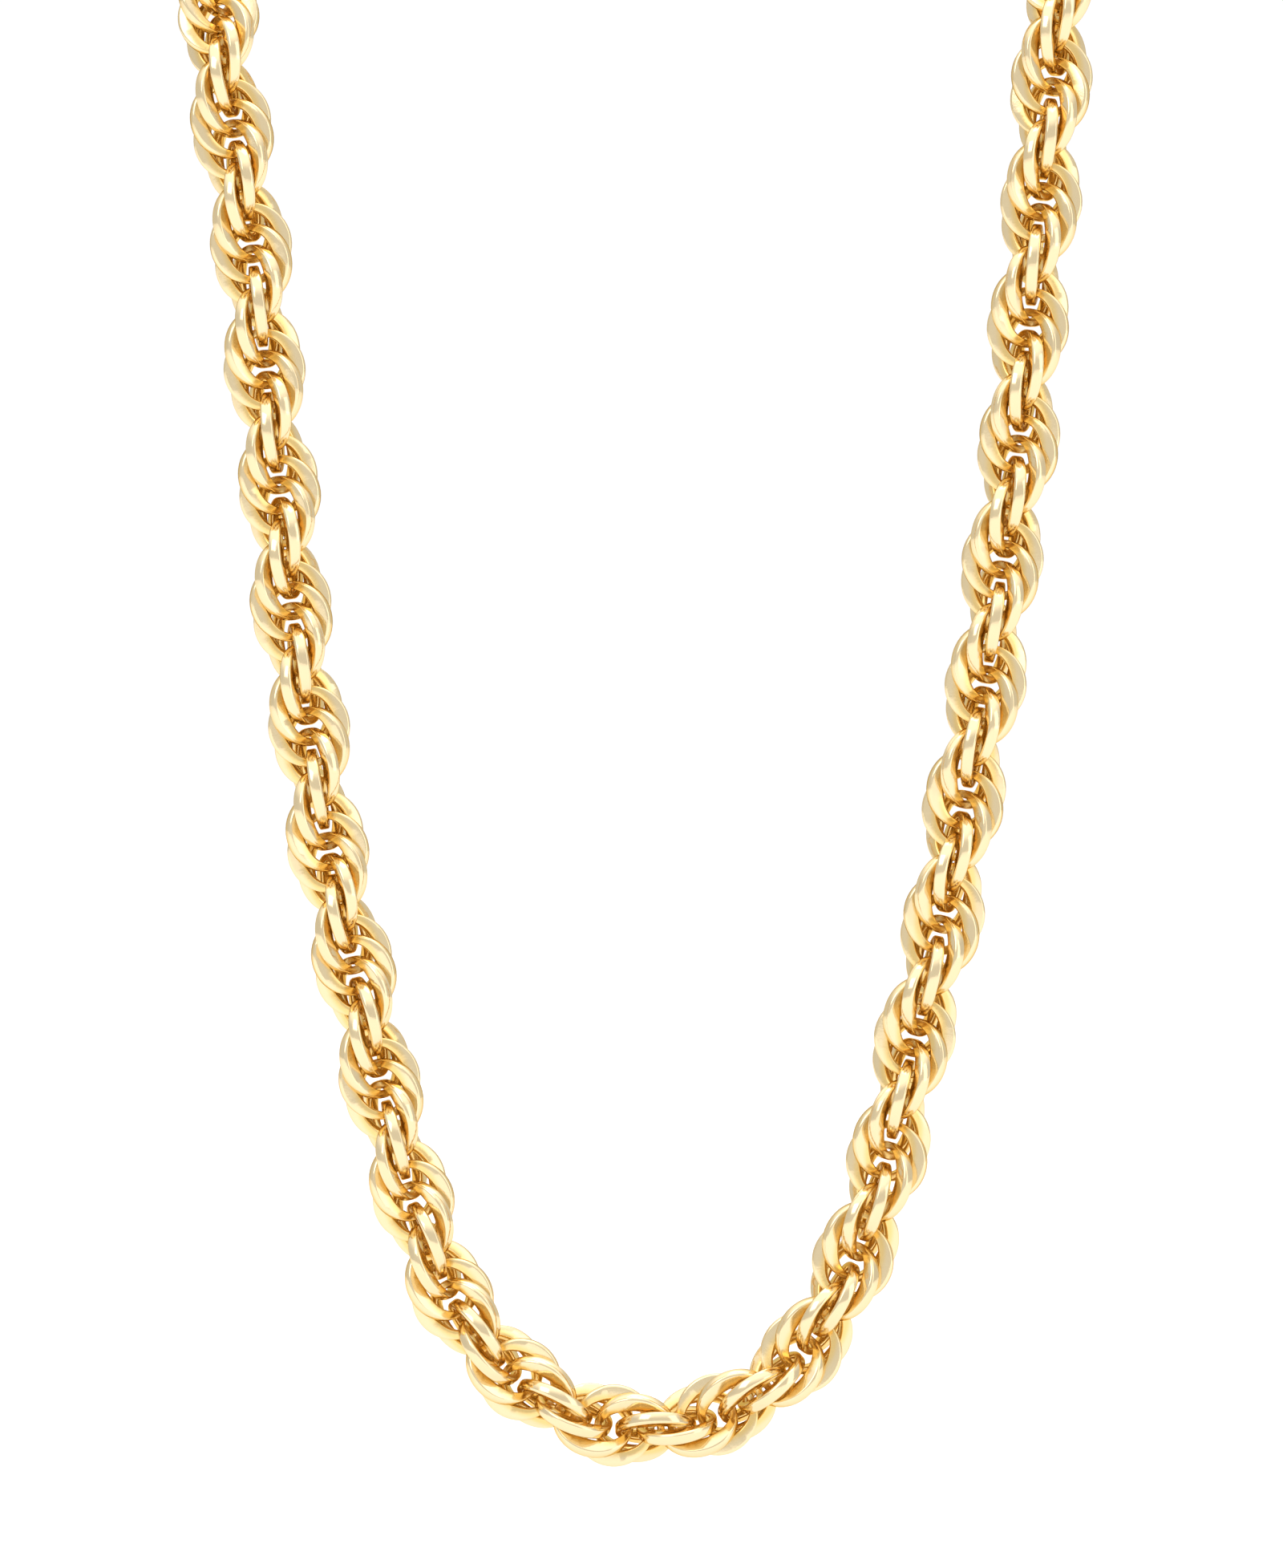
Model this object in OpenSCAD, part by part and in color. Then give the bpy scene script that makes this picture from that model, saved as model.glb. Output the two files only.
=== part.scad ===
// Rope chain necklace: closed round links, each passed through the three before it
// and turned a little further round the chain, so that the edges run as a twisted
// rope of two strands. The loop hangs round an open neck space at the origin.
// +Z is up, the worn front hangs in a plane before the neck, which lies towards +Y.

/* [Link] */
// Radial thickness of a link's band where it crosses the rope's core
wire_thick = 0.7; // [0.5:0.02:0.72]
// Radial thickness of the band at the link's two sides, beside its oval hole
side_thick = 1.5; // [1.1:0.05:1.6]
// Width of the band across the link's plane
wire_width = 0.96; // [0.6:0.02:1]
// Free space along the rope between a link and the bands that pass it
link_gap = 0.46; // [0.45:0.01:0.6]
// How far a link's centre stands off the rope's axis, along its own plane
link_offset = 0.1; // [-0.2:0.01:0.2]

/* [Rope] */
// Turn of the rope from one link to the next, degrees
twist = 31.5; // [30:0.1:32]
// Turn of the rope at the first link, degrees
twist_start = 76; // [0:1:179]
// Extra turn from link to link where the chain hangs lowest, degrees
low_twist = 3.8; // [0:0.1:4]
// Height below which the rope takes this extra turn
low_height = -146; // [-165:1:-120]

/* [Clasp] */
// Diameter of the clasp's barrel
barrel_dia = 5; // [3.5:0.1:7]
// Length of the barrel between its end faces
barrel_length = 8; // [6:0.5:14]
// Length of the cone at each end of the barrel
barrel_cone = 0.8; // [0.3:0.1:1.2]
// Diameter of the wire of the two end loops
loop_wire = 0.8; // [0.5:0.05:0.85]
// Free space inside a loop on both sides of the link that hangs in it
loop_gap = 0.6; // [0.3:0.05:0.8]
// Free space between a loop's end and the link that hangs in it
hook_gap = 0.25; // [0.22:0.01:0.3]
// Free space between the barrel and the end links
clasp_gap = 0.4; // [0.3:0.05:1]

/* [Hidden] */
$fn = 96;
gold = "#E8C684";

// Each link reaches over three pitches and a half, so the third link on passes
// inside it and the fourth lies beyond it, with about the same free space.
pitch = 2*(wire_thick + link_gap);
ring_r = 1.785*pitch;

// The rope's axis is a smooth curve drawn by these few points, from behind the neck
// round the left side, down and up the front and back: x, y, z of each point.
ROUTE = [
  [0, 20, 11], [-15, 17.5, 10.5], [-29, 9.5, 9], [-40, -2, 4.5], [-46, -13, -4.5],
  [-47.5, -21.5, -17], [-45.5, -24, -30], [-42.5, -24, -49], [-40.5, -24, -67.5],
  [-38.5, -24, -86], [-36, -24, -104.5], [-32.5, -24, -123], [-28, -24, -141],
  [-23, -24, -161], [-10.5, -24, -176.5], [9.5, -24, -178], [23, -24, -163],
  [28, -24, -142.5], [32.5, -24, -124], [36, -24, -105.5], [39, -24, -87],
  [41.5, -24, -68.5], [43, -24, -49.5], [45, -24, -30], [46.5, -21.5, -15.5],
  [45.5, -13, -3], [39.5, -2, 4.5], [28.5, 9.5, 9], [15, 17.5, 10.5]];
// Share by which the links close up in a bend, for one link radius of bend
bend_close = 0.1;

function unit(v) = v/norm(v);
function route(i) = ROUTE[(i + len(ROUTE))%len(ROUTE)];
// Point of the smooth curve between two of the points, at share t
function spline(a, b, c, d, t) =
  (a*pow(1 - t, 3) + b*(3*pow(t, 3) - 6*t*t + 4) + c*(3*t + 3*t*t - 3*pow(t, 3) + 1)
    + d*pow(t, 3))/6;
steps = 16;
fine = [for (i = [0:len(ROUTE) - 1]) for (j = [0:steps - 1])
  spline(route(i - 1), route(i), route(i + 1), route(i + 2), j/steps)];
count = len(fine);
run = [for (i = 0, s = 0; i <= count;
  s = s + norm(fine[(i + 1)%count] - fine[i%count]), i = i + 1) s];
loop_length = run[count];
// The curve starts at the middle of the clasp, one route point before the second
tables = [for (a = [0:2]) [for (i = [0:count]) [run[i], fine[i%count][a]]]];
function wrap(s) = s < 0 ? s + loop_length : s > loop_length ? s - loop_length : s;
function at(s) = [for (a = [0:2]) lookup(wrap(s), tables[a])];
function dir(s) = unit(at(s + pitch) - at(s - pitch));
function bend(s) = norm(dir(s + pitch) - dir(s - pitch))/(2*pitch);
function next(s) = s + pitch*(1 - bend_close*pow(ring_r*bend(s), 2));

// The end links stand this far from the clasp's middle, or up to a pitch further
reach = barrel_length/2 + clasp_gap + wire_thick/2 + ring_r;
spots = [for (s = reach; s <= loop_length - reach; s = next(s)) s];
links = len(spots);
half = floor(links/2);
slack = loop_length - reach - spots[links - 1];
stand = [for (s = spots) s + slack/2];
axes = [for (s = stand) dir(s)];
// Side direction of every link, carried along the route without a turn of its own
sides = [for (k = 0, v = unit(cross([0, 0, 1], axes[0])); k < links;
  k = k + 1, v = k < links ? unit(v - (v*axes[k])*axes[k]) : v) v];

// A link's own frame on the rope: z along the rope, x in the link's plane
low = [for (k = 0, n = 0; k < links;
  n = n + (at(stand[k])[2] < low_height ? 1 : 0), k = k + 1) n];
function spin(k) = twist_start + twist*k + low_twist*low[k];
function in_plane(k) = cos(spin(k))*sides[k] + sin(spin(k))*cross(axes[k], sides[k]);
function point(k, z) = at(stand[k]) + link_offset*in_plane(k) + z*axes[k];

// Puts its children in a link's own frame, with the link's centre at the origin
module on_link(k) {
  x = in_plane(k);
  z = axes[k];
  y = cross(z, x);
  p = point(k, 0);
  multmatrix([
    [x[0], y[0], z[0], p[0]],
    [x[1], y[1], z[1], p[1]],
    [x[2], y[2], z[2], p[2]],
    [0, 0, 0, 1]])
    children();
}

// One link: a closed flat band, round and slightly crowned outside, with an oval hole
// that is longer along the rope. It stands in its frame's x-z plane.
module link() {
  outer_r = ring_r + wire_thick/2;
  hole_r = outer_r - side_thick;
  hole_shift = side_thick - wire_thick;
  rotate([90, 0, 0])
    intersection() {
      sphere(r = outer_r);
      linear_extrude(height = wire_width, center = true)
        difference() {
          circle(r = outer_r + wire_thick);
          translate([0, hole_shift]) circle(r = hole_r);
          translate([0, -hole_shift]) circle(r = hole_r);
          square([2*hole_r, 2*hole_shift], center = true);
        }
    }
}

// The links of one half of the chain
module links_between(first, beyond) {
  color(gold)
    for (k = [first:beyond - 1]) on_link(k) link();
}

module chain_left() {
  links_between(0, half);
}

module chain_right() {
  links_between(half, links);
}

// One loop of the clasp: a ring across the end link's plane that passes through it.
// The side (-1 or 1) is where the clasp lies along the rope as seen from the link.
loop_r = wire_width/2 + loop_gap + loop_wire/2;
hook_z = ring_r - wire_thick/2 - hook_gap - loop_wire/2;
module loop(k, side) {
  on_link(k)
    translate([0, 0, side*(hook_z + loop_r)])
    rotate([0, 90, 0])
    rotate_extrude()
    translate([loop_r, 0])
    circle(d = loop_wire);
}

// One plain piece: a barrel from end link to end link with a fixed loop at each end
barrel_z = ring_r + wire_thick/2 + clasp_gap;
module clasp() {
  a = point(0, -barrel_z);
  b = point(links - 1, barrel_z);
  h = norm(b - a);
  u = unit(b - a);
  r = barrel_dia/2;
  color(gold) {
    translate(a)
      rotate([0, acos(u[2]), atan2(u[1], u[0])])
      rotate_extrude()
      polygon([[0, 0], [r - barrel_cone, 0], [r, barrel_cone], [r, h - barrel_cone],
        [r - barrel_cone, h], [0, h]]);
    loop(0, -1);
    loop(links - 1, 1);
  }
}

chain_left();
chain_right();
clasp();
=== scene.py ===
"""Rope chain necklace: polished gold links and a barrel clasp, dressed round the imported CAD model.

Every length here is in metres and in the CAD model's own frame. The links stand where the CAD
links stand: the same few route points and the same steps along them are repeated below.
"""

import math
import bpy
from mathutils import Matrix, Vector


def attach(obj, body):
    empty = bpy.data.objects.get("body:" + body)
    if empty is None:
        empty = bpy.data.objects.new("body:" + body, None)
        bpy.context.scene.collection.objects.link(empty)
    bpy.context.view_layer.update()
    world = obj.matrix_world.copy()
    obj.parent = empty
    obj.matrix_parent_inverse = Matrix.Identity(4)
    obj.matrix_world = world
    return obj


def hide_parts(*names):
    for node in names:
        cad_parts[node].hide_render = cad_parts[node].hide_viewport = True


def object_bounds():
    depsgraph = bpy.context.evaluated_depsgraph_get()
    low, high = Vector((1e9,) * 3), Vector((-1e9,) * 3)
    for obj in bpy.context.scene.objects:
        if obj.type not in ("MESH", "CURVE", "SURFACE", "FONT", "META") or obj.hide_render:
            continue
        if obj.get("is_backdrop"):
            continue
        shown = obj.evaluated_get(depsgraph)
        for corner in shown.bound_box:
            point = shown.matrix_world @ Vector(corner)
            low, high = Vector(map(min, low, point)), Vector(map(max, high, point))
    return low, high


bl_info = {
    "name": "Rope Chain Necklace",
    "version": (1, 0, 0),
    "blender": (4, 5, 0),
    "location": "View3D > Sidebar > Rope Chain",
    "description": "Makes the links, the clasp, the gold and the stage of a rope chain necklace",
    "category": "Object",
}

import bmesh
import bpy
from bpy.props import FloatProperty, FloatVectorProperty, IntProperty, PointerProperty
from mathutils import Matrix, Vector

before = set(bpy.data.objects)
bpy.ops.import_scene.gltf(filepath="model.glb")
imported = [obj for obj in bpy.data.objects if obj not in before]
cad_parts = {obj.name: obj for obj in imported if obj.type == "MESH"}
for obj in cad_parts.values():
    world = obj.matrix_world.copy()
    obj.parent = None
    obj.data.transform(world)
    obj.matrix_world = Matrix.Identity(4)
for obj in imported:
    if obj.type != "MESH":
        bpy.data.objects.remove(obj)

MM = 0.001

# The rope's axis is a smooth curve drawn by these few points (millimetres), from behind the neck
# round the left side, down and up the front, and back. They are the CAD model's own.
ROUTE = [
    (0, 20, 11), (-15, 17.5, 10.5), (-29, 9.5, 9), (-40, -2, 4.5), (-46, -13, -4.5),
    (-47.5, -21.5, -17), (-45.5, -24, -30), (-42.5, -24, -49), (-40.5, -24, -67.5),
    (-38.5, -24, -86), (-36, -24, -104.5), (-32.5, -24, -123), (-28, -24, -141),
    (-23, -24, -161), (-10.5, -24, -176.5), (9.5, -24, -178), (23, -24, -163),
    (28, -24, -142.5), (32.5, -24, -124), (36, -24, -105.5), (39, -24, -87),
    (41.5, -24, -68.5), (43, -24, -49.5), (45, -24, -30), (46.5, -21.5, -15.5),
    (45.5, -13, -3), (39.5, -2, 4.5), (28.5, 9.5, 9), (15, 17.5, 10.5),
]
ROUTE_STEPS = 16          # steps of the curve from one route point to the next
BEND_CLOSE = 0.1          # how much nearer the links stand where the rope bends
RING_PITCHES = 1.785      # a link's middle radius, in pitches of the rope
CAD_BAND = 0.96 * MM      # width of the CAD links' band, which the clasp's loops are fitted to

TINY = 1e-7               # two lengths nearer than this, in metres, are the same
CORE_NARROWS = 4          # how sharply the shown band narrows towards the rope's core
INNER_SHADE = 0.3         # painted shade: how much lower the mask is on the inside of a link, so the deeper colour lies there
INNER_EDGE = 0.2          # share of the thickness, inwards of the middle, where the inside starts
CLASP_SHADE_MASK = 0.9         # value of the painted-shade mask on the clasp, high enough that it gets none of the painted shade
GOLDEN_SHARE = 0.618034   # spreads the links' own polish marks without a repeat
TONE_SPREAD = 40          # how far the marks' pattern moves in all
BARREL_STEPS = 64
GROOVE_PLACE = 2.2        # distance of a groove from the barrel's end, in lengths of the cone
LOOP_STEPS, LOOP_WIRE_STEPS = 48, 16
FLOOR_HALF = 12           # half the floor's side, in metres


def hex_colour(code):
    """A colour written as sRGB hex, as Blender's linear red, green and blue."""
    parts = [int(code[i:i + 2], 16) / 255 for i in (1, 3, 5)]
    return tuple(c / 12.92 if c <= 0.04045 else ((c + 0.055) / 1.055) ** 2.4 for c in parts)


def size(name, text, default, low, high):
    """A length property in metres, given here in millimetres."""
    return FloatProperty(name=name, description=text, default=default * MM, min=low * MM,
                         max=high * MM, precision=5, subtype="DISTANCE", unit="LENGTH")


def colour(name, text, code):
    """A colour property, given here as sRGB hex."""
    return FloatVectorProperty(name=name, description=text, default=hex_colour(code), min=0,
                               max=1, size=3, subtype="COLOR")


class RopeLinkSizes(bpy.types.PropertyGroup):
    """Sizes of one link and of the rope that the links make."""
    wire_thick: size("Wire thickness", "Radial thickness that the pitch is worked out from",
                     0.7, 0.5, 0.9)
    core_thick: size("Core thickness", "Shown radial thickness in the rope's core", 0.87, 0.7, 1)
    low_core_thick: size("Low core thickness", "The same in the low bend, where links close in",
                         0.79, 0.7, 0.95)
    side_thick: size("Side thickness", "Radial thickness at a link's sides, beside its oval hole",
                     1.8, 0.84, 1.9)
    wire_width: size("Band width", "Width of the band across the link's plane", 1.35, 0.7, 1.4)
    core_width: size("Core width", "Width of the band where it crosses the rope's core",
                     1.08, 0.6, 1.2)
    link_gap: size("Link gap", "Free space along the rope between passing bands", 0.46, 0.28, 0.6)
    link_offset: size("Link offset", "How far a link stands off the rope's axis", 0.1, -0.2, 0.2)
    facet: size("Facet", "Width of the bevel on each edge of the band", 0.22, 0.05, 0.4)
    facet_round: size("Facet rounding", "Polished rounding of each facet's edge", 0.045, 0.01, 0.06)
    segments: IntProperty(name="Segments", description="Steps round one link", default=54, min=24,
                          max=56)
    twist: FloatProperty(name="Twist", description="Turn of the rope from link to link",
                         default=math.radians(31.5), subtype="ANGLE", unit="ROTATION")
    twist_start: FloatProperty(name="First link's turn", description="Turn at the first link",
                               default=math.radians(76), subtype="ANGLE", unit="ROTATION")
    low_twist: FloatProperty(name="Low twist",
                             description="Extra turn where the chain hangs lowest",
                             default=math.radians(3.8), subtype="ANGLE", unit="ROTATION")
    low_height: size("Low height", "Height below which the extra turn is taken", -146, -165, -120)


class RopeClaspSizes(bpy.types.PropertyGroup):
    """Sizes of the barrel clasp."""
    barrel_dia: size("Barrel diameter", "Diameter of the clasp's barrel", 5, 3.5, 7)
    barrel_length: size("Barrel length", "Shortest length of the barrel", 8, 6, 14)
    barrel_cone: size("End cone", "Length of the cone at each end", 0.8, 0.3, 1.2)
    loop_wire: size("Loop wire", "Diameter of the end loops' wire", 0.8, 0.5, 0.85)
    loop_gap: size("Loop gap", "Free space inside a loop beside its link", 0.6, 0.3, 0.8)
    hook_gap: size("Hook gap", "Free space between a loop's end and its link", 0.25, 0.22, 0.3)
    clasp_gap: size("Clasp gap", "Free space between the barrel and the end links", 0.4, 0.3, 1)
    groove: size("Groove", "Depth of the two turned grooves", 0.12, 0.02, 0.3)


class RopeFinish(bpy.types.PropertyGroup):
    """Colours of the gold and of the stage."""
    polished: colour("Polished gold", "Outer faces, polished bright", "#F0DBB0")
    # The inner gold is painted shade: a deeper colour laid inside the rope, where shade falls
    # between the links
    inner: colour("Inner gold", "Faces inside the rope that the polishing wheel can't reach",
                  "#F1D08A")
    edge: colour("Gold at the rim", "Gold seen at a grazing angle", "#E6C890")
    floor: colour("Floor", "Plain pale floor", "#FAFAFA")


# ------------------------------------------------------------------ the rope's geometry


def spline_point(a, b, c, d, t):
    """Point of the smooth curve between the points b and c, at share t."""
    return (a * (1 - t) ** 3 + b * (3 * t ** 3 - 6 * t * t + 4)
            + c * (3 * t + 3 * t * t - 3 * t ** 3 + 1) + d * t ** 3) / 6


class Rope:
    """Where each link stands: its centre, the rope's direction there and the link's turn."""

    def __init__(self, link, clasp):
        self.link, self.clasp = link, clasp
        self.pitch = 2 * (link.wire_thick + link.link_gap)
        self.ring_r = RING_PITCHES * self.pitch
        points = [Vector(p) * MM for p in ROUTE]
        n = len(points)
        self.fine = [spline_point(points[i - 1], points[i], points[(i + 1) % n],
                                  points[(i + 2) % n], j / ROUTE_STEPS)
                     for i in range(n) for j in range(ROUTE_STEPS)]
        self.fine.append(self.fine[0])
        self.run = [0.0]
        for before, after in zip(self.fine, self.fine[1:]):
            self.run.append(self.run[-1] + (after - before).length)
        self.length = self.run[-1]
        self.place_links()

    def at(self, s):
        """Point of the rope's axis at the distance s along it."""
        s %= self.length
        low, high = 0, len(self.run) - 1
        while high - low > 1:
            mid = (low + high) // 2
            low, high = (mid, high) if self.run[mid] <= s else (low, mid)
        share = (s - self.run[low]) / (self.run[high] - self.run[low])
        return self.fine[low].lerp(self.fine[high], share)

    def direction(self, s):
        """The rope's direction at the distance s along it."""
        return (self.at(s + self.pitch) - self.at(s - self.pitch)).normalized()

    def place_links(self):
        """Steps along the rope from the clasp round to the clasp, a little closer in bends."""
        pitch, link, clasp = self.pitch, self.link, self.clasp
        reach = clasp.barrel_length / 2 + clasp.clasp_gap + link.wire_thick / 2 + self.ring_r
        spots = [reach]
        while True:
            s = spots[-1]
            bend = (self.direction(s + pitch) - self.direction(s - pitch)).length / (2 * pitch)
            s += pitch * (1 - BEND_CLOSE * (self.ring_r * bend) ** 2)
            if s > self.length - reach:
                break
            spots.append(s)
        slack = self.length - reach - spots[-1]
        stand = [s + slack / 2 for s in spots]
        self.axes = [self.direction(s) for s in stand]
        self.centres, self.turned, self.low = [], [], []
        side = Vector((0, 0, 1)).cross(self.axes[0]).normalized()
        spin = link.twist_start
        for s, axis in zip(stand, self.axes):
            side = (side - side.dot(axis) * axis).normalized()
            in_plane = math.cos(spin) * side + math.sin(spin) * axis.cross(side)
            centre = self.at(s)
            self.turned.append(in_plane)
            self.centres.append(centre)
            self.low.append(centre.z < link.low_height)
            spin += link.twist + (link.low_twist if self.low[-1] else 0)

    def count(self):
        """The number of links."""
        return len(self.centres)

    def place(self, k):
        """The matrix that puts a link in place: x in the link's plane, z along the rope."""
        x, z = self.turned[k], self.axes[k]
        y = z.cross(x)
        m = Matrix((x, y, z)).transposed().to_4x4()
        m.translation = self.centres[k] + self.link.link_offset * x
        return m


def rope():
    """The rope as the sizes in the sidebar say."""
    scene = bpy.context.scene
    return Rope(scene.rope_link, scene.rope_clasp)


# ------------------------------------------------------------------ materials


def add_node(tree, kind, place, inputs=None, links=None, **settings):
    """Adds one node with its settings, its inputs' values and the sockets that feed it."""
    node = tree.nodes.new(kind)
    node.location = place
    for key, value in settings.items():
        setattr(node, key, value)
    for key, value in (inputs or {}).items():
        node.inputs[key].default_value = value
    for key, socket in (links or {}).items():
        tree.links.new(socket, node.inputs[key])
    return node


def polished_gold(name, finish):
    """14 carat yellow gold, drawn to a flat band, soldered and polished on a wheel.

    The outside is nearly a mirror, pale where it meets a soft light. Deep in the rope and on the
    inside of each link the colour is painted deeper as painted shade, and the gold there is a little
    rougher.
    """
    mat = bpy.data.materials.new(name)
    mat.use_nodes = True
    tree = mat.node_tree
    tree.nodes.clear()
    coord = add_node(tree, "ShaderNodeTexCoord", (-1400, 0))
    # The reach attribute holds the painted-shade mask: low deep in the rope and inside the links
    reach = add_node(tree, "ShaderNodeAttribute", (-1400, 300), attribute_name="reach")
    tone = add_node(tree, "ShaderNodeAttribute", (-1400, -300), attribute_name="tone")
    # Wavering of the polish along a band, about 1.6 mm from crest to crest
    waves = add_node(tree, "ShaderNodeTexNoise", (-1100, 0), {"Scale": 620.0, "Detail": 1.0},
                     {"Vector": coord.outputs["Object"], "W": tone.outputs["Fac"]},
                     noise_dimensions="4D")
    # Small dents and grains, about 0.25 mm apart
    grain = add_node(tree, "ShaderNodeTexNoise", (-1100, -300), {"Scale": 4200.0, "Detail": 2.0},
                     {"Vector": coord.outputs["Object"]})
    # Painted shade: where the mask is low the deeper inner colour stands in for the shade that falls
    # there, and the roughness rises
    painted_shade_mask = add_node(tree, "ShaderNodeMapRange", (-1100, 300),
                       {"From Min": 0.3, "From Max": 0.7}, {"Value": reach.outputs["Fac"]},
                       interpolation_type="SMOOTHSTEP")
    tint = add_node(tree, "ShaderNodeMix", (-700, 300),
                    {"A": (*finish.inner, 1), "B": (*finish.polished, 1)},
                    {"Factor": painted_shade_mask.outputs["Result"]}, data_type="RGBA")
    rough = add_node(tree, "ShaderNodeMapRange", (-700, 0), {"To Min": 0.16, "To Max": 0.1},
                     {"Value": painted_shade_mask.outputs["Result"]})
    rough_grain = add_node(tree, "ShaderNodeMath", (-400, 0), {1: 0.08},
                           {0: grain.outputs["Fac"], 2: rough.outputs["Result"]},
                           operation="MULTIPLY_ADD")
    small = add_node(tree, "ShaderNodeBump", (-700, -300), {"Strength": 0.12, "Distance": 0.00003},
                     {"Height": grain.outputs["Fac"]})
    broad = add_node(tree, "ShaderNodeBump", (-400, -300), {"Strength": 0.08, "Distance": 0.0002},
                     {"Height": waves.outputs["Fac"], "Normal": small.outputs["Normal"]})
    shader = add_node(tree, "ShaderNodeBsdfPrincipled", (0, 0),
                      {"Metallic": 1.0, "Specular Tint": (*finish.edge, 1)},
                      {"Base Color": tint.outputs["Result"], "Roughness": rough_grain.outputs[0],
                       "Normal": broad.outputs["Normal"]})
    add_node(tree, "ShaderNodeOutputMaterial", (300, 0), links={"Surface": shader.outputs[0]})
    return mat


# ------------------------------------------------------------------ pieces


def finished_piece(name, bm, material, node):
    """Turns a bmesh into a piece that rides on the frame and stands for a CAD node."""
    mesh = bpy.data.meshes.new(name)
    bm.to_mesh(mesh)
    bm.free()
    mesh.materials.append(material)
    piece = bpy.data.objects.new(name, mesh)
    bpy.context.scene.collection.objects.link(piece)
    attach(piece, "root")
    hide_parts(node)
    return piece


def band_profile(link, ring_r):
    """The band's cross-section as (distance from the link's axis, height): a flat with facets."""
    t, w, c = link.wire_thick / 2, link.wire_width / 2, link.facet
    # The facet is measured on the thick sides; the core's thinner band is pressed from them
    d = c * link.wire_thick / link.side_thick
    return [(ring_r + x, y) for x, y in (
        (t, w - c), (t - d, w), (d - t, w), (-t, w - c),
        (-t, c - w), (d - t, -w), (t - d, -w), (t, c - w))]


def one_link(link, core_thick, ring_r, rope_r, painted_shade_layer, bm):
    """Makes a closed round band standing in the x-z plane, its axis along y."""
    before = set(bm.verts)
    corners = [bm.verts.new((r, h, 0)) for r, h in band_profile(link, ring_r)]
    edges = [bm.edges.new((a, b)) for a, b in zip(corners, corners[1:] + corners[:1])]
    bmesh.ops.spin(bm, geom=corners + edges, cent=(0, 0, 0), axis=(0, 1, 0), dvec=(0, 0, 0),
                   angle=2 * math.pi, steps=link.segments, use_merge=True)
    # The eight long edges get a small polished rounding
    step = 2 * math.pi * (ring_r - link.wire_thick / 2) / link.segments
    long_edges = [e for e in bm.edges
                  if e.verts[0] not in before
                  and abs((e.verts[0].co - e.verts[1].co).y) < TINY
                  and abs(e.verts[0].co.length - e.verts[1].co.length) < TINY
                  and e.calc_length() < 1.5 * step]
    bmesh.ops.bevel(bm, geom=long_edges, offset=link.facet_round, offset_type="OFFSET", segments=1,
                    profile=0.5, affect="EDGES", material=-1, clamp_overlap=True)
    bmesh.ops.recalc_face_normals(bm, faces=bm.faces)
    # The hole is an oval along the rope, so the band is thicker at the link's sides
    outer = ring_r + link.wire_thick / 2
    half_x, half_z = outer - link.side_thick, outer - core_thick
    made = [v for v in bm.verts if v not in before]
    for v in made:
        radius = math.hypot(v.co.x, v.co.z)
        core = (v.co.z / radius) ** CORE_NARROWS
        v.co.y *= 1 - core * (1 - link.core_width / link.wire_width)
        hole = half_x * half_z * radius / math.hypot(half_z * v.co.x, half_x * v.co.z)
        stretched = outer - (outer - radius) * (outer - hole) / link.wire_thick
        v.co.x *= stretched / radius
        v.co.z *= stretched / radius
    # The painted-shade layer: lower deeper in the rope and lower again on the inside of the link,
    # where the deeper colour is painted as shade
    for v in made:
        out = math.hypot(v.co.x + link.link_offset, v.co.y)
        inner = math.hypot(v.co.x, v.co.z) < ring_r - INNER_EDGE * link.wire_thick
        v[painted_shade_layer] = out / rope_r - (INNER_SHADE if inner else 0.0)
    return made + [part for part in (*bm.edges, *bm.faces) if part.verts[0] not in before]


def chain_links(name, first, beyond, chain, material, node):
    """The links first to beyond - 1 as one piece."""
    link = bpy.context.scene.rope_link
    bm = bmesh.new()
    painted_shade_layer = bm.verts.layers.float.new("reach")
    tone_layer = bm.verts.layers.float.new("tone")
    rope_r = chain.ring_r + link.link_offset + link.wire_thick / 2
    plain = one_link(link, link.core_thick, chain.ring_r, rope_r, painted_shade_layer, bm)
    low = one_link(link, link.low_core_thick, chain.ring_r, rope_r, painted_shade_layer, bm)
    for k in range(first, beyond):
        copy = bmesh.ops.duplicate(bm, geom=low if chain.low[k] else plain)["geom"]
        verts = [g for g in copy if isinstance(g, bmesh.types.BMVert)]
        bmesh.ops.transform(bm, matrix=chain.place(k), verts=verts)
        # Each link has polish marks of its own: the tone moves the pattern by the golden share
        for v in verts:
            v[tone_layer] = TONE_SPREAD * ((k * GOLDEN_SHARE) % 1)
    bmesh.ops.delete(bm, geom=[g for g in plain + low if isinstance(g, bmesh.types.BMVert)],
                     context="VERTS")
    for face in bm.faces:
        face.smooth = True
    piece = finished_piece(name, bm, material, node)
    flats = piece.modifiers.new("Flat facets", "WEIGHTED_NORMAL")
    flats.keep_sharp = True


def clasp_barrel(bm, start, end, clasp):
    """The turned barrel with a cone at each end and two shallow grooves."""
    h = (end - start).length
    r, c, g = clasp.barrel_dia / 2, clasp.barrel_cone, clasp.groove
    edge = GROOVE_PLACE * c
    outline = [(0, 0), (r - c, 0), (r, c), (r, edge), (r - g, edge + g), (r, edge + 2 * g)]
    outline += [(x, h - z) for x, z in reversed(outline)]
    verts = [bm.verts.new((x, 0, z)) for x, z in outline]
    edges = [bm.edges.new((a, b)) for a, b in zip(verts, verts[1:])]
    bmesh.ops.spin(bm, geom=verts + edges, cent=(0, 0, 0), axis=(0, 0, 1), dvec=(0, 0, 0),
                   angle=2 * math.pi, steps=BARREL_STEPS, use_merge=True)
    bmesh.ops.remove_doubles(bm, verts=bm.verts, dist=0.002 * MM)
    bmesh.ops.recalc_face_normals(bm, faces=bm.faces)
    turn = (end - start).to_track_quat("Z", "Y").to_matrix().to_4x4()
    bmesh.ops.transform(bm, matrix=Matrix.Translation(start) @ turn, verts=bm.verts)


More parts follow.
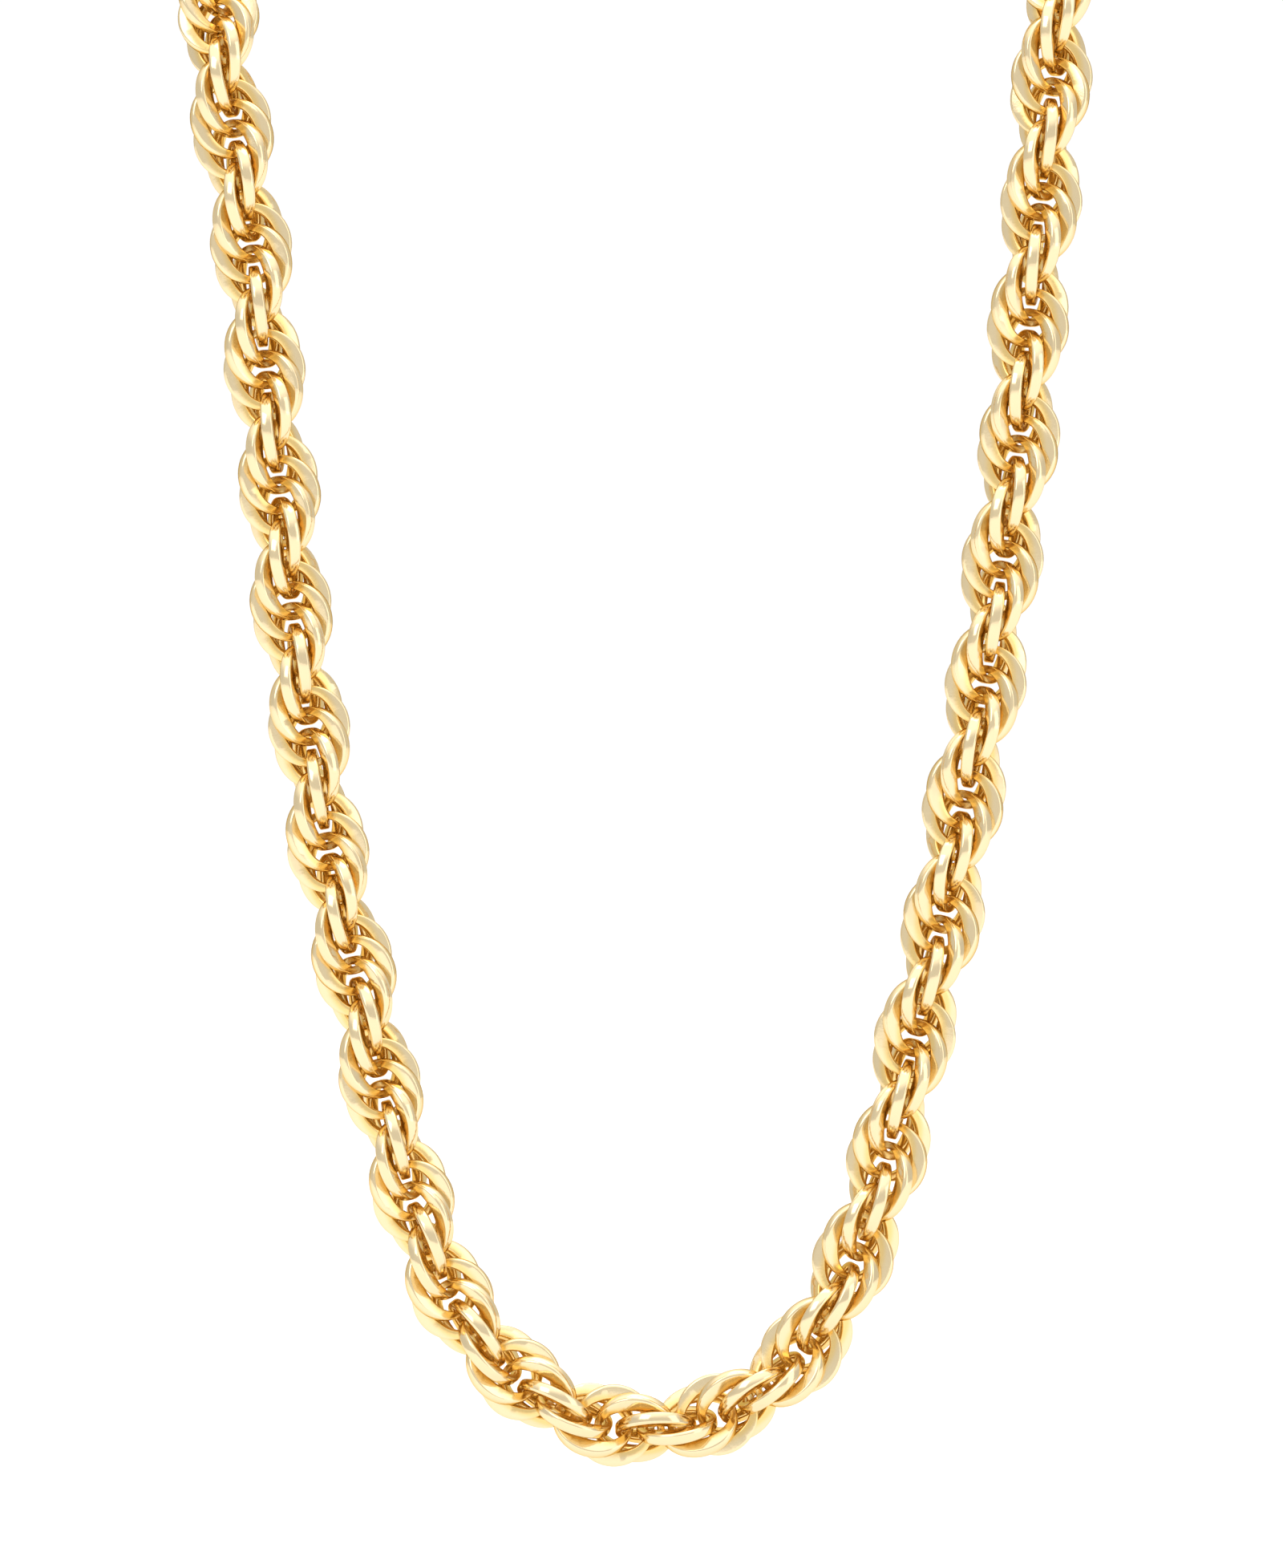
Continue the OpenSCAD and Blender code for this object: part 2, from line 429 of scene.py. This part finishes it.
def clasp_loop(bm, chain, k, side, clasp, link):
    """A round loop across an end link's plane, through which that link passes."""
    loop_r = CAD_BAND / 2 + clasp.loop_gap + clasp.loop_wire / 2
    hook_z = chain.ring_r - link.wire_thick / 2 - clasp.hook_gap - clasp.loop_wire / 2
    made = bmesh.ops.create_circle(bm, segments=LOOP_WIRE_STEPS,
                                   radius=clasp.loop_wire / 2)["verts"]
    bmesh.ops.rotate(bm, verts=made, cent=(0, 0, 0), matrix=Matrix.Rotation(math.pi / 2, 3, "X"))
    bmesh.ops.translate(bm, verts=made, vec=(loop_r, 0, 0))
    before = set(bm.verts) - set(made)
    edges = [e for e in bm.edges if e.verts[0] not in before]
    bmesh.ops.spin(bm, geom=made + edges, cent=(0, 0, 0), axis=(0, 0, 1), dvec=(0, 0, 0),
                   angle=2 * math.pi, steps=LOOP_STEPS, use_merge=True)
    new = [v for v in bm.verts if v not in before]
    out = Matrix.Translation((0, 0, side * (hook_z + loop_r)))
    lay = Matrix.Rotation(math.pi / 2, 4, "Y")
    bmesh.ops.transform(bm, matrix=chain.place(k) @ out @ lay, verts=new)


# ------------------------------------------------------------------ operators


class ROPECHAIN_OT_links(bpy.types.Operator):
    """Make the links of both halves of the chain"""
    bl_idname = "ropechain.links"
    bl_label = "Links"

    def execute(self, context):
        chain = rope()
        gold = polished_gold("Polished_14_carat_gold_band", context.scene.rope_finish)
        half = chain.count() // 2
        chain_links("chain_left_links", 0, half, chain, gold, "chain_left")
        chain_links("chain_right_links", half, chain.count(), chain, gold, "chain_right")
        return {"FINISHED"}


class ROPECHAIN_OT_clasp(bpy.types.Operator):
    """Make the barrel clasp with its two end loops"""
    bl_idname = "ropechain.clasp"
    bl_label = "Clasp"

    def execute(self, context):
        chain, clasp, link = rope(), context.scene.rope_clasp, context.scene.rope_link
        last = chain.count() - 1
        reach = chain.ring_r + link.wire_thick / 2 + clasp.clasp_gap
        bm = bmesh.new()
        painted_shade_layer = bm.verts.layers.float.new("reach")
        clasp_barrel(bm, chain.place(0) @ Vector((0, 0, -reach)),
                     chain.place(last) @ Vector((0, 0, reach)), clasp)
        clasp_loop(bm, chain, 0, -1, clasp, link)
        clasp_loop(bm, chain, last, 1, clasp, link)
        bmesh.ops.recalc_face_normals(bm, faces=bm.faces)
        # The clasp's painted-shade mask is set high, so none of the painted shade lies on it
        for v in bm.verts:
            v[painted_shade_layer] = CLASP_SHADE_MASK
        for face in bm.faces:
            face.smooth = True
        gold = polished_gold("Polished_14_carat_gold_turned", context.scene.rope_finish)
        piece = finished_piece("clasp_barrel", bm, gold, "clasp")
        piece.modifiers.new("Flat facets", "WEIGHTED_NORMAL")
        return {"FINISHED"}


def soft_box(name, place, target, width, height, power, tint):
    """A plain soft studio light that faces the target."""
    lamp = bpy.data.lights.new(name, "AREA")
    lamp.shape, lamp.size, lamp.size_y = "RECTANGLE", width, height
    lamp.energy, lamp.color = power, tint
    obj = bpy.data.objects.new(name, lamp)
    obj.location = place
    obj.rotation_euler = (Vector(target) - Vector(place)).to_track_quat("-Z", "Y").to_euler()
    bpy.context.scene.collection.objects.link(obj)


def studio_surround():
    """A pale studio: white before and behind, greyer at the sides, brightest overhead."""
    world = bpy.data.worlds.new("Studio")
    bpy.context.scene.world = world
    world.use_nodes = True
    tree = world.node_tree
    tree.nodes.clear()
    coord = add_node(tree, "ShaderNodeTexCoord", (-900, 0))
    axis = add_node(tree, "ShaderNodeSeparateXYZ", (-700, 0),
                    links={0: coord.outputs["Generated"]})
    depth = add_node(tree, "ShaderNodeMath", (-600, 0), links={0: axis.outputs["Y"]},
                     operation="ABSOLUTE")
    ramp = add_node(tree, "ShaderNodeMapRange", (-450, 0),
                    {"From Min": 0.1, "From Max": 0.9, "To Min": 0.74, "To Max": 0.82},
                    {"Value": depth.outputs[0]}, interpolation_type="SMOOTHSTEP")
    ceiling = add_node(tree, "ShaderNodeMapRange", (-500, -300),
                       {"From Min": 0.4, "From Max": 0.9, "To Min": 0.0, "To Max": 0.75},
                       {"Value": axis.outputs["Z"]}, interpolation_type="SMOOTHSTEP")
    glow = add_node(tree, "ShaderNodeMath", (-350, -100),
                    links={0: ramp.outputs["Result"], 1: ceiling.outputs["Result"]},
                    operation="ADD")
    seen = add_node(tree, "ShaderNodeLightPath", (-500, 300))
    strength = add_node(tree, "ShaderNodeMix", (-150, 0), {"B": 1.02},
                        {"Factor": seen.outputs["Is Camera Ray"], "A": glow.outputs[0]})
    back = add_node(tree, "ShaderNodeBackground", (0, 0), {"Color": (1, 1, 1, 1)},
                    {"Strength": strength.outputs["Result"]})
    add_node(tree, "ShaderNodeOutputWorld", (250, 0), links={"Surface": back.outputs[0]})


# The photograph's frame in the plane of the chain's front, and the camera that sees it
FRAME_HEIGHT = 172.04 * MM
FRAME_MIDDLE = Vector((0, -24, -106.02)) * MM
LENS_MM = 150
SENSOR_MM = 36
FLOOR_DROP = 24 * MM      # the floor's distance below the lowest link


class ROPECHAIN_OT_stage(bpy.types.Operator):
    """Make the plain floor, the soft lights and the camera at the photograph's angle"""
    bl_idname = "ropechain.stage"
    bl_label = "Stage"

    def execute(self, context):
        scene = context.scene
        low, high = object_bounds()
        bm = bmesh.new()
        bmesh.ops.create_grid(bm, x_segments=1, y_segments=1, size=FLOOR_HALF)
        bmesh.ops.translate(bm, verts=bm.verts, vec=(0, 0, low.z - FLOOR_DROP))
        mesh = bpy.data.meshes.new("floor")
        bm.to_mesh(mesh)
        bm.free()
        floor = bpy.data.objects.new("floor", mesh)
        scene.collection.objects.link(floor)
        matt = bpy.data.materials.new("Matt_white_paper")
        matt.use_nodes = True
        paper = matt.node_tree.nodes["Principled BSDF"]
        paper.inputs["Base Color"].default_value = (*scene.rope_finish.floor, 1)
        paper.inputs["Roughness"].default_value = 0.9
        mesh.materials.append(matt)
        floor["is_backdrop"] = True

        studio_surround()
        centre = (low + high) / 2
        soft_box("key_softbox", (-0.7, -0.9, 0.7), centre, 0.7, 0.7, 2.5, (1, 0.985, 0.96))
        soft_box("fill_softbox", (0.9, -0.6, 0.2), centre, 0.5, 0.9, 1.2, (1, 0.99, 0.97))
        soft_box("top_softbox", (0.1, 0.2, 1.0), centre, 0.8, 0.8, 2, (1, 1, 1))

        lens = bpy.data.cameras.new("camera")
        lens.lens, lens.sensor_width = LENS_MM, SENSOR_MM
        lens.clip_start, lens.clip_end = 0.05, 50
        camera = bpy.data.objects.new("camera", lens)
        # The photograph's long side is its height, which the sensor's width spans
        back = FRAME_HEIGHT * LENS_MM / SENSOR_MM
        camera.location = FRAME_MIDDLE - Vector((0, back, 0))
        camera.rotation_euler = (math.pi / 2, 0, 0)
        scene.collection.objects.link(camera)
        scene.camera = camera
        # The photograph's white is plain white, so colours are shown as they are
        scene.view_settings.view_transform = "Standard"
        return {"FINISHED"}


class ROPECHAIN_PT_panel(bpy.types.Panel):
    """The rope chain's pieces and sizes"""
    bl_idname = "ROPECHAIN_PT_panel"
    bl_label = "Rope Chain"
    bl_space_type = "VIEW_3D"
    bl_region_type = "UI"
    bl_category = "Rope Chain"

    def draw(self, context):
        for group in (context.scene.rope_link, context.scene.rope_clasp, context.scene.rope_finish):
            box = self.layout.box()
            for key in group.__annotations__:
                box.prop(group, key)
        for operator in OPERATORS:
            self.layout.operator(operator.bl_idname)


OPERATORS = (ROPECHAIN_OT_links, ROPECHAIN_OT_clasp, ROPECHAIN_OT_stage)
CLASSES = (RopeLinkSizes, RopeClaspSizes, RopeFinish, *OPERATORS, ROPECHAIN_PT_panel)


def register():
    """Adds the classes, and the sizes and colours to the scene."""
    for cls in CLASSES:
        bpy.utils.register_class(cls)
    bpy.types.Scene.rope_link = PointerProperty(type=RopeLinkSizes)
    bpy.types.Scene.rope_clasp = PointerProperty(type=RopeClaspSizes)
    bpy.types.Scene.rope_finish = PointerProperty(type=RopeFinish)


def unregister():
    """Takes away what register added."""
    del bpy.types.Scene.rope_link, bpy.types.Scene.rope_clasp, bpy.types.Scene.rope_finish
    for cls in reversed(CLASSES):
        bpy.utils.unregister_class(cls)


def main():
    """Makes everything: the links, the clasp and the stage."""
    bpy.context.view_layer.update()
    register()
    bpy.ops.ropechain.links()
    bpy.ops.ropechain.clasp()
    bpy.ops.ropechain.stage()
    bpy.context.view_layer.update()


if __name__ == "__main__":
    main()
